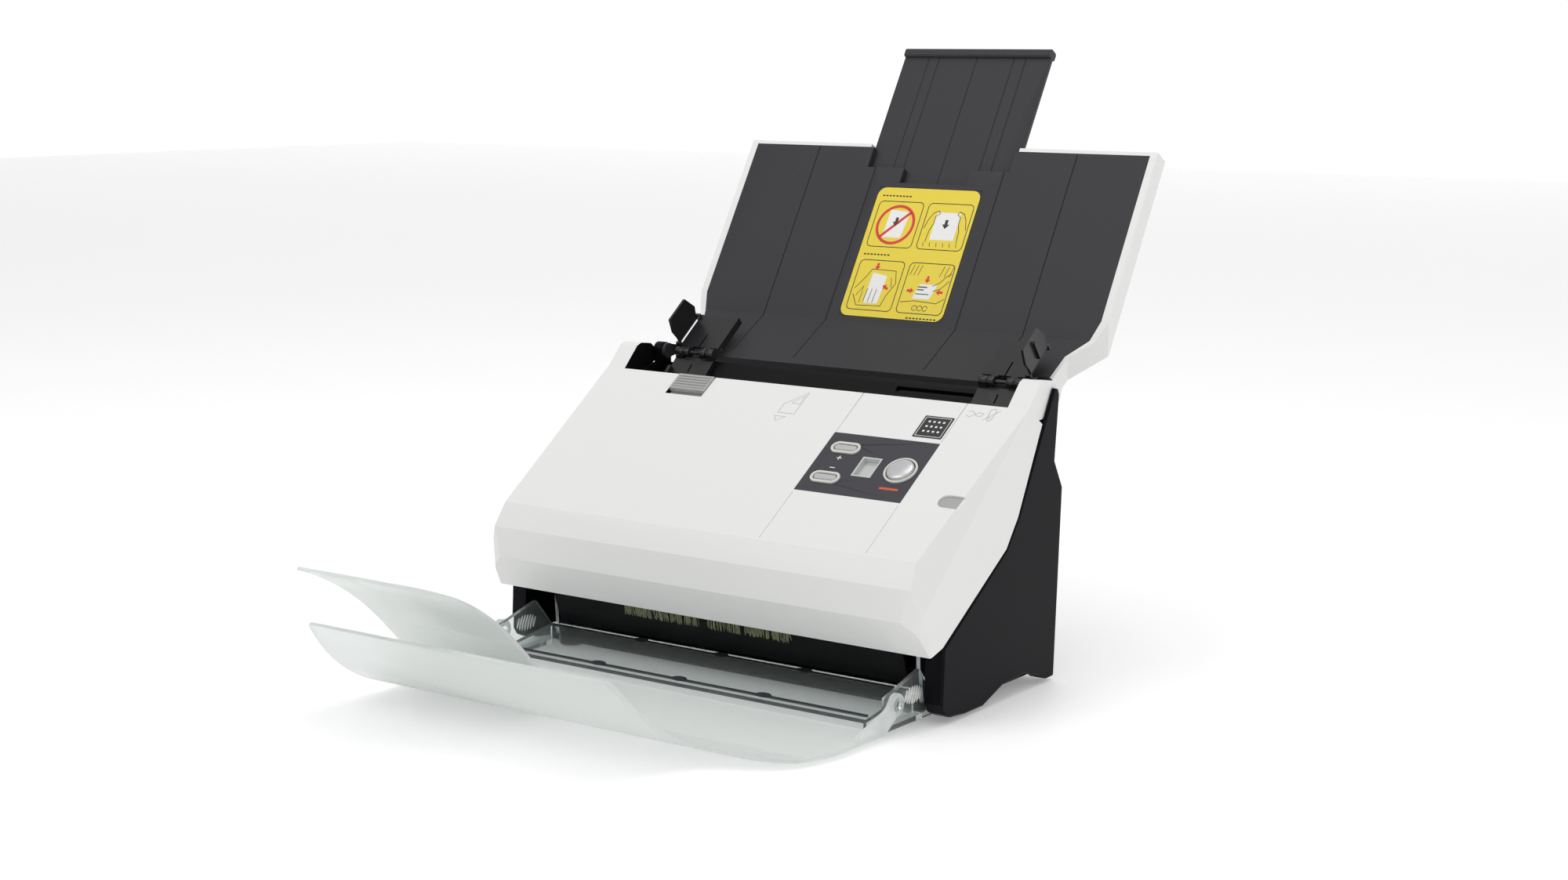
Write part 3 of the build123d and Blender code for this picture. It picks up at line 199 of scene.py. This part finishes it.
# ---------------------------------------------------------------- sloping planes
class Slope:
    """Plane with X across the machine, S up the slope and H standing off it, in millimetres."""

    def __init__(self, origin, angle):
        self.y, self.z = origin
        self.cos, self.sin = math.cos(math.radians(angle)), math.sin(math.radians(angle))

    def point(self, x, s, h):
        return Vector((x * MM,
                       (self.y + s * self.cos - h * self.sin - SHIFT) * MM,
                       (self.z + s * self.sin + h * self.cos) * MM))


FACE = Slope((-62.4, 94.7), 33.5)
CHUTE = Slope((138.7, 197.3), 59.0)
TRAY = Slope((-86.0, 8.6), 8.05)


# ---------------------------------------------------------------- flat outlines
def arc(x, y, radius, start, sweep, steps=8):
    return [(x + radius * math.cos(math.radians(start + sweep * i / steps)),
             y + radius * math.sin(math.radians(start + sweep * i / steps)))
            for i in range(steps + 1)]


def rounded(x0, y0, x1, y1, radius):
    """Rectangle with round corners."""
    corners = ((x1 - radius, y1 - radius, 0), (x0 + radius, y1 - radius, 90),
               (x0 + radius, y0 + radius, 180), (x1 - radius, y0 + radius, 270))
    return [p for x, y, start in corners for p in arc(x, y, radius, start, 90, 5)]


def stroke(points, width, closed=False):
    """Line of a given width along a chain of points, as its two sides."""
    count = len(points)
    left, right = [], []
    for i, (x, y) in enumerate(points):
        before = points[i - 1] if (i or closed) else points[i]
        after = points[(i + 1) % count] if (i < count - 1 or closed) else points[i]
        a = Vector((x - before[0], y - before[1]))
        b = Vector((after[0] - x, after[1] - y))
        a = a.normalized() if a.length > 1e-6 else b.normalized()
        b = b.normalized() if b.length > 1e-6 else a
        middle = (a + b).normalized() if (a + b).length > 1e-6 else a
        across = Vector((-middle.y, middle.x)) * (width / 2 / max(0.4, middle.dot(a)))
        left.append((x + across.x, y + across.y))
        right.append((x - across.x, y - across.y))
    return left, right, closed


class Art:
    """Thin raised marks on a sloping plane, gathered in one mesh."""

    def __init__(self, plane, low, high):
        self.mesh = bmesh.new()
        self.plane, self.low, self.high = plane, low, high

    def wall(self, bottom, top, closed=True):
        count = len(bottom)
        for i in range(count if closed else count - 1):
            j = (i + 1) % count
            self.mesh.faces.new((bottom[i], bottom[j], top[j], top[i]))

    def fill(self, outline):
        area = sum(a[0] * b[1] - b[0] * a[1] for a, b in zip(outline, outline[1:] + outline[:1]))
        outline = outline if area > 0 else outline[::-1]
        low = [self.mesh.verts.new(self.plane.point(x, y, self.low)) for x, y in outline]
        high = [self.mesh.verts.new(self.plane.point(x, y, self.high)) for x, y in outline]
        for a, b, c in tessellate_polygon([[Vector((x, y, 0)) for x, y in outline]]):
            self.mesh.faces.new((high[a], high[b], high[c]))
            self.mesh.faces.new((low[c], low[b], low[a]))
        self.wall(low, high)
        return self

    def line(self, points, width, closed=False):
        left, right, closed = stroke(points, width, closed)
        rows = [[self.mesh.verts.new(self.plane.point(x, y, h)) for x, y in side]
                for side, h in ((left, self.low), (left, self.high), (right, self.high), (right, self.low))]
        for first, second in zip(rows, rows[1:] + rows[:1]):
            self.wall(first, second, closed)
        if not closed:
            self.mesh.faces.new([row[0] for row in rows][::-1])
            self.mesh.faces.new([row[-1] for row in rows])
        return self

    def done(self, name, look, body, slot_name):
        bmesh.ops.recalc_face_normals(self.mesh, faces=self.mesh.faces)
        return piece(name, self.mesh, look, body)


def piece(name, mesh, look, body, smooth=False):
    """Object from a bmesh, riding on a CAD body."""
    data = bpy.data.meshes.new(name)
    mesh.to_mesh(data)
    mesh.free()
    data.materials.append(MATERIALS[look])
    if smooth:
        data.polygons.foreach_set("use_smooth", [True] * len(data.polygons))
    made = bpy.data.objects.new(name, data)
    bpy.context.scene.collection.objects.link(made)
    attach(made, body)
    return made


def side_prism(outline, low, high):
    """Bmesh with a side-view outline of (Y, Z) points, from X = low to X = high."""
    mesh = bmesh.new()
    rows = [[mesh.verts.new((x * MM, (y - SHIFT) * MM, z * MM)) for y, z in outline] for x in (low, high)]
    for i in range(len(outline)):
        j = (i + 1) % len(outline)
        mesh.faces.new((rows[0][i], rows[0][j], rows[1][j], rows[1][i]))
    mesh.faces.new(rows[0][::-1])
    mesh.faces.new(rows[1])
    bmesh.ops.recalc_face_normals(mesh, faces=mesh.faces)
    return mesh


# ---------------------------------------------------------------- label on the chute
LABEL = (-39.5, 41.0, 3.5, 99.0)
FRAMES = ((-35.5, 55.0, -1.0, 88.5), (3.0, 55.0, 37.0, 88.5),
          (-35.5, 9.0, -1.0, 45.0), (3.0, 9.0, 37.0, 45.0))
INK = (-0.02, 0.03)
OVER = (0.03, 0.06)


def label():
    """Yellow guide label with four framed pictures and no lettering."""
    x0, x1, s0, s1 = LABEL
    sheet = Art(CHUTE, -0.2, -0.02).fill(rounded(x0 + 0.2, s0 + 0.8, x1 - 1.8, s1 - 0.3, 6))
    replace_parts(sheet.done("chute_label_sheet", "label_yellow", "chute", "label_yellow"), "chute_label")
    lines = Art(CHUTE, *INK)
    for a, b, c, d in FRAMES:
        lines.line(rounded(a, b, c, d, 3.2), 0.55, True)
    for x, s, count in ((-35, 92.6, 9), (-35, 49.2, 8), (12, 5.6, 9)):
        for number in range(count):
            lines.line([(x + number * 2.6, s), (x + number * 2.6 + 1.7, s)], 1.0)
    hands(lines)
    feeder_sketch(lines)
    lines.done("label_lines", "ink_black", "chute", "label_yellow")
    paper = Art(CHUTE, *INK)
    paper.fill([(-25.5, 62.0), (-11.5, 62.0), (-9.5, 81.0), (-25.0, 82.5)])
    paper.fill([(11.0, 62.0), (29.0, 62.0), (29.0, 82.0), (11.0, 82.0)])
    paper.fill([(-24.0, 14.0), (-13.0, 14.0), (-11.5, 34.0), (-23.0, 36.0)])
    paper.fill([(12.0, 19.5), (25.0, 19.5), (28.0, 30.0), (15.0, 30.0)])
    paper.done("label_paper", "ink_white", "chute", "label_yellow")
    red = Art(CHUTE, *OVER)
    red.line(arc(-18.2, 71.5, 13.6, 0, 360, 40)[:-1], 2.0, True)
    red.line([(-27.6, 62.0), (-8.8, 81.0)], 2.0)
    for x, s, turn in ((-21.0, 40.5, 270), (-10.5, 26.0, 150), (9.0, 25.0, 0),
                       (31.0, 25.0, 180), (19.5, 33.5, 270)):
        arrow(red, x, s, turn, 4.2)
    red.done("label_red_marks", "ink_red", "chute", "label_yellow")
    dark = Art(CHUTE, *OVER)
    arrow(dark, -18.0, 73.5, 270, 5.5)
    arrow(dark, 20.0, 73.5, 270, 5.5)
    dark.line([(14.0, 28.0), (21.0, 28.0)], 0.8)
    dark.line([(14.0, 26.0), (19.0, 26.0)], 0.8)
    dark.line([(13.6, 23.0), (23.5, 23.0)], 0.6)
    dark.done("label_dark_marks", "ink_black", "chute", "label_yellow")


def arrow(art, x, s, turn, size):
    """Block arrow pointing along a direction in degrees."""
    c, w = math.cos(math.radians(turn)), math.sin(math.radians(turn))
    shape = [(-0.6, -0.2), (0.0, -0.2), (0.0, -0.5), (0.6, 0.0), (0.0, 0.5), (0.0, 0.2), (-0.6, 0.2)]
    art.fill([(x + size * (a * c - b * w), s + size * (a * w + b * c)) for a, b in shape])


def hands(lines):
    """Outlines of two hands that hold a sheet, beside the upper right picture's sheet."""
    for side in (-1, 1):
        base = 20.0 + side * 9.0
        grip = [(base + side * 6.8, 70.0), (base + side * 5.0, 77.0), (base + side * 2.5, 81.5),
                (base - side * 1.0, 83.0), (base - side * 2.4, 81.0), (base + side * 0.4, 79.0),
                (base + side * 0.4, 74.0), (base + side * 2.2, 68.5), (base + side * 2.8, 60.5)]
        lines.line(grip, 0.45)
    for x in (7.0, 12.0, 17.0, 22.0, 27.0, 32.0):
        lines.line([(x, 60.0), (x + 0.8, 57.0)], 0.4)


def feeder_sketch(lines):
    """Line drawings in the lower two pictures."""
    lines.line([(-33.5, 24.0), (-27.5, 32.5), (-24.5, 38.5), (-6.0, 38.0), (-3.5, 29.0), (-8.0, 20.0),
                (-10.0, 12.5), (-28.5, 12.0), (-33.5, 20.0)], 0.45)
    lines.line([(-31.0, 19.0), (-27.0, 26.0), (-27.0, 14.0)], 0.4)
    lines.line([(-8.0, 33.0), (-6.0, 26.0)], 0.4)
    for x in (-24.0, -20.5, -17.0):
        lines.line([(x, 14.5), (x + 0.6, 24.5)], 0.5)
    for x in (5.0, 8.0, 11.0, 27.5, 31.0, 34.5):
        lines.line([(x, 36.0), (x + 1.8, 43.5)], 0.4)
    lines.line([(4.0, 16.5), (14.0, 18.0), (31.0, 17.0), (36.0, 20.5)], 0.45)
    lines.line([(24.5, 29.0), (29.0, 31.5), (33.0, 36.5), (36.0, 38.5)], 0.45)
    lines.line([(26.0, 25.5), (31.0, 27.5), (36.0, 33.5)], 0.45)
    for x in (16.0, 20.0, 24.0):
        lines.line(arc(x, 13.0, 1.8, 0, 330, 10), 0.4)


# ---------------------------------------------------------------- marks on the cover
RISE = (-0.05, 0.06)


def face_marks():
    """Generic marks of the main face: sheet and clip icons, key signs and a plain plate."""
    icons = Art(FACE, *RISE)
    icons.line([(-6.0, 106.0), (6.0, 106.0), (6.0, 126.0), (-6.0, 114.0)], 0.4, True)
    icons.line([(-1.0, 115.5), (5.0, 115.0), (5.0, 123.0)], 0.35, True)
    icons.line([(-6.5, 102.8), (1.5, 102.8), (-3.5, 98.6)], 0.4, True)
    icons.line([(120.0, 121.0), (122.5, 119.8), (127.5, 124.2), (130.5, 123.6), (130.0, 121.2),
                (127.0, 121.0), (122.5, 125.2), (120.4, 124.0)], 0.4)
    clip = arc(136.2, 119.6, 1.6, 180, 180) + arc(135.8, 126.4, 2.0, 0, 180)
    clip += arc(135.4, 121.0, 1.0, 180, 180)
    icons.line(clip, 0.45)
    icons.line([(132.5, 118.5), (140.5, 127.5)], 0.4)
    icons.done("face_icons", "ink_grey", "front_cover", "window_grey")
    signs = Art(FACE, *RISE)
    signs.line([(55.9, 73.4), (59.3, 73.4)], 0.6)
    signs.fill([(57.3, 71.7), (57.9, 71.7), (57.9, 73.0), (57.3, 73.0)])
    signs.fill([(57.3, 73.8), (57.9, 73.8), (57.9, 75.1), (57.3, 75.1)])
    signs.line([(55.8, 64.8), (59.4, 64.8)], 0.6)
    signs.done("key_signs", "ink_white", "front_cover", "slate_panel")
    bar = Art(FACE, *RISE)
    bar.fill(rounded(96.5, 52.2, 109.5, 54.0, 0.85))
    bar.done("scan_key_mark", "ink_orange", "front_cover", "slate_panel")
    plate = Art(FACE, -0.05, 0.2).fill(rounded(94.7, 98.2, 114.5, 117.0, 0.6))
    plate.done("rating_plate", "ink_black", "front_cover", "slate_panel")
    trim = Art(FACE, 0.2, 0.24)
    trim.line(rounded(96.0, 99.4, 113.2, 115.8, 0.5), 0.35, True)
    for column in range(4):
        for row in range(3):
            x, s = 99.0 + column * 3.3, 103.0 + row * 4.2
            trim.fill(rounded(x, s, x + 1.5, s + 1.5, 0.4))
    trim.done("rating_plate_marks", "ink_white", "front_cover", "slate_panel")


SCAN_KEY = (102.9, 68.8)
DOME_R, DOME_FOOT, DOME_RISE = 8.1, 1.35, 1.25


def scan_dome():
    """Domed top of the scan key."""
    mesh = bmesh.new()
    rings = []
    steps, around = 8, 48
    for i in range(steps + 1):
        radius = DOME_R * math.cos(i / steps * math.pi / 2) + 0.001
        height = DOME_FOOT + DOME_RISE * math.sin(i / steps * math.pi / 2)
        ring = [(SCAN_KEY[0] + radius * math.cos(a / around * 2 * math.pi),
                 SCAN_KEY[1] + radius * math.sin(a / around * 2 * math.pi)) for a in range(around)]
        rings.append([mesh.verts.new(FACE.point(x, s, height)) for x, s in ring])
    for first, second in zip(rings, rings[1:]):
        for a in range(around):
            b = (a + 1) % around
            mesh.faces.new((first[a], first[b], second[b], second[a]))
    mesh.faces.new(rings[-1])
    mesh.faces.new(rings[0][::-1])
    piece("scan_key_dome", mesh, "pearl_button", "scan_button", smooth=True)


def latch_apron():
    """Thin apron of the release that closes its slot from below as it slides."""
    apron = Art(FACE, -3.6, -2.9).fill(rounded(-96.6, 108.4, -69.7, 118.2, 0.8))
    for s in (112.0, 113.6, 115.2):
        apron.fill([(-95.5, s), (-70.8, s), (-70.8, s + 0.7), (-95.5, s + 0.7)])
    apron.done("latch_apron", "latch_grey", "cover_latch", "latch_grey")


def thumb_notch():
    """Grey lining of the finger notch at the right of the face."""
    lining = Art(FACE, -1.48, -1.2)
    lining.fill(arc(143.6, 49.5, 5.15, 90, 180, 12) + [(151.2, 44.35), (151.9, 54.65)])
    lining.done("notch_lining", "latch_grey", "front_cover", "latch_grey")


# ---------------------------------------------------------------- trays
RIB_PLACES = (5.6, 46.6)            # up the tray's slope
RIB_HALF_LENGTH, RIB_HALF_WIDTH = 131, 0.9
BOSS_X = (-61.0, 0.0, 60.5)
BOSS_RADII = (5.2, 3.0)
GRIP_RIDGES, GRIP_PITCH, GRIP_REACH = 7, 2.5, 5.4
GRIP_X, GRIP_AT = 143.35, (-53.0, 17.2)
GRIP_LEAN = 0.35


def tray_strips():
    """Dark ribs across the clear tray, with their oval bosses."""
    for number, s in enumerate(RIB_PLACES):
        rib = Art(TRAY, -2.2, 0.12)
        low, high = s - RIB_HALF_WIDTH, s + RIB_HALF_WIDTH
        rib.fill([(-RIB_HALF_LENGTH, low), (RIB_HALF_LENGTH, low),
                  (RIB_HALF_LENGTH, high), (-RIB_HALF_LENGTH, high)])
        rib.done(f"tray_rib_{number}", "charcoal", "base", "clear_tray")
        for x in BOSS_X:
            boss = Art(TRAY, 0.0, 0.5)
            boss.fill([(x + BOSS_RADII[0] * math.cos(a / 12 * math.pi),
                        s + BOSS_RADII[1] * math.sin(a / 12 * math.pi)) for a in range(24)])
            boss.done(f"tray_boss_{number}_{round(x)}", "charcoal", "base", "clear_tray")


def ear_grips():
    """Ribbed oval grip on the outer face of each tray ear."""
    for side in (-1, 1):
        mesh = bmesh.new()
        for number in range(GRIP_RIDGES):
            offset = (number - GRIP_RIDGES // 2) * GRIP_PITCH
            reach = GRIP_REACH * math.sqrt(1 - (offset / 10.0) ** 2)
            y, z = GRIP_AT[0] + offset, GRIP_AT[1] - 0.1 * offset
            centre = Vector((side * GRIP_X * MM, (y - SHIFT) * MM, z * MM))
            turn = Matrix.Rotation(-GRIP_LEAN, 4, "X")
            size = Matrix.Diagonal((0.7 * MM, 0.62 * MM, reach * MM, 1))
            bmesh.ops.create_icosphere(mesh, subdivisions=3, radius=1.0,
                                       matrix=Matrix.Translation(centre) @ turn @ size)
        piece("tray_grip_right" if side > 0 else "tray_grip_left", mesh, "ink_white", "base",
              smooth=True)


CHEEK = [(52, 120), (81, 120), (81, 165), (80, 168.5), (75, 168), (60, 163), (52, 150)]
CHEEK_X = (141.0, 142.4)


def cheek_linings():
    """Dark inner cheeks of the throat, inside each side cover."""
    for side, name in ((-1, "cheek_lining_left"), (1, "cheek_lining_right")):
        mesh = side_prism(CHEEK, side * CHEEK_X[0], side * CHEEK_X[1])
        piece(name, mesh, "black_inner", "base")


TUFTS = ((-61.0, -6.0), (2.0, 24.0), (28.0, 60.0))     # X limits of each tuft
FIBRES_PER_MM = 2.6
FIBRE_R = 0.15
FIBRE_TOP, FIBRE_FOOT = 45.0, 34.6
BRUSH_Y = -56.0
HOLDER = [(-57.2, 45.0), (-55.2, 43.6), (-55.2, 50.5), (-60.0, 50.5)]
HOLDER_HALF = 118


def brush():
    """Fibres of the exit brush in three tufts, under their holder strip."""
    mesh = bmesh.new()
    for low, high in TUFTS:
        for number in range(int((high - low) * FIBRES_PER_MM)):
            x = SPREAD.uniform(low, high)
            y = BRUSH_Y + SPREAD.uniform(-0.45, 0.45)
            foot_x = x + SPREAD.gauss(1.6, 0.9)
            foot_z = FIBRE_FOOT + abs(SPREAD.gauss(0, 1.3))
            fibre(mesh, (x, y, FIBRE_TOP), (foot_x, y + SPREAD.uniform(-0.3, 0.3), foot_z), FIBRE_R)
    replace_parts(piece("brush_fibres", mesh, "brush_fibre", "front_cover"), "exit_brush")
    holder = side_prism(HOLDER, -HOLDER_HALF, HOLDER_HALF)
    piece("brush_holder", holder, "black_inner", "front_cover")


def fibre(mesh, top, foot, radius):
    """Thin three-sided bristle."""
    rings = []
    for x, y, z in (top, foot):
        around = [(x + radius * math.cos(a), y + radius * math.sin(a)) for a in (0.0, 2.094, 4.189)]
        rings.append([mesh.verts.new((u * MM, (v - SHIFT) * MM, z * MM)) for u, v in around])
    for i in range(3):
        j = (i + 1) % 3
        mesh.faces.new((rings[0][i], rings[0][j], rings[1][j], rings[1][i]))
    mesh.faces.new(rings[0][::-1])
    mesh.faces.new(rings[1])


# ---------------------------------------------------------------- studio
def studio():
    """Pale floor, white surroundings and soft lamps."""
    floor = bpy.data.meshes.new("floor")
    floor.from_pydata([(-6, -6, 0), (6, -6, 0), (6, 6, 0), (-6, 6, 0)], [], [(0, 1, 2, 3)])
    floor.materials.append(material("floor_white", (0.90, 0.90, 0.90), 0.5, Specular_IOR_Level=0.2,
                                    Emission_Color=(1, 1, 1, 1), Emission_Strength=0.22))
    ground = bpy.data.objects.new("floor", floor)
    ground.location.z = -0.0005
    bpy.context.scene.collection.objects.link(ground)
    wall = bpy.data.meshes.new("backdrop")
    wall.from_pydata([(-14, 5.9, -1), (8, 5.9, -1), (8, 5.9, 7), (-14, 5.9, 7)], [], [(0, 1, 2, 3)])
    wall.materials.append(material("backdrop_white", (0, 0, 0), 1.0, Emission_Color=(1, 1, 1, 1),
                                   Emission_Strength=1.0))
    behind = bpy.data.objects.new("backdrop", wall)
    bpy.context.scene.collection.objects.link(behind)
    world = bpy.data.worlds.new("studio")
    world.use_nodes = True
    world.node_tree.nodes["Background"].inputs["Color"].default_value = (1, 1, 1, 1)
    world.node_tree.nodes["Background"].inputs["Strength"].default_value = 0.56
    bpy.context.scene.world = world
    for name, place, size, power in (("key", (-0.7, -1.1, 1.8), 1.2, 8.0),
                                     ("fill", (1.7, -0.5, 0.9), 1.0, 2.0),
                                     ("top", (0.1, 0.2, 1.9), 1.2, 8.5)):
        data = bpy.data.lights.new(name, "AREA")
        data.size, data.energy = size, power
        lamp = bpy.data.objects.new(name, data)
        lamp.location = place
        lamp.rotation_euler = (Vector((0, 0, 0.12)) - Vector(place)).to_track_quat("-Z", "Y").to_euler()
        bpy.context.scene.collection.objects.link(lamp)
    bpy.context.scene.view_settings.view_transform = "Standard"


place_camera()
MATERIALS = make_materials()
dress_nodes(MATERIALS)
darken_hinge_ends(MATERIALS)
label()
face_marks()
scan_dome()
latch_apron()
thumb_notch()
tray_strips()
ear_grips()
cheek_linings()
brush()
studio()
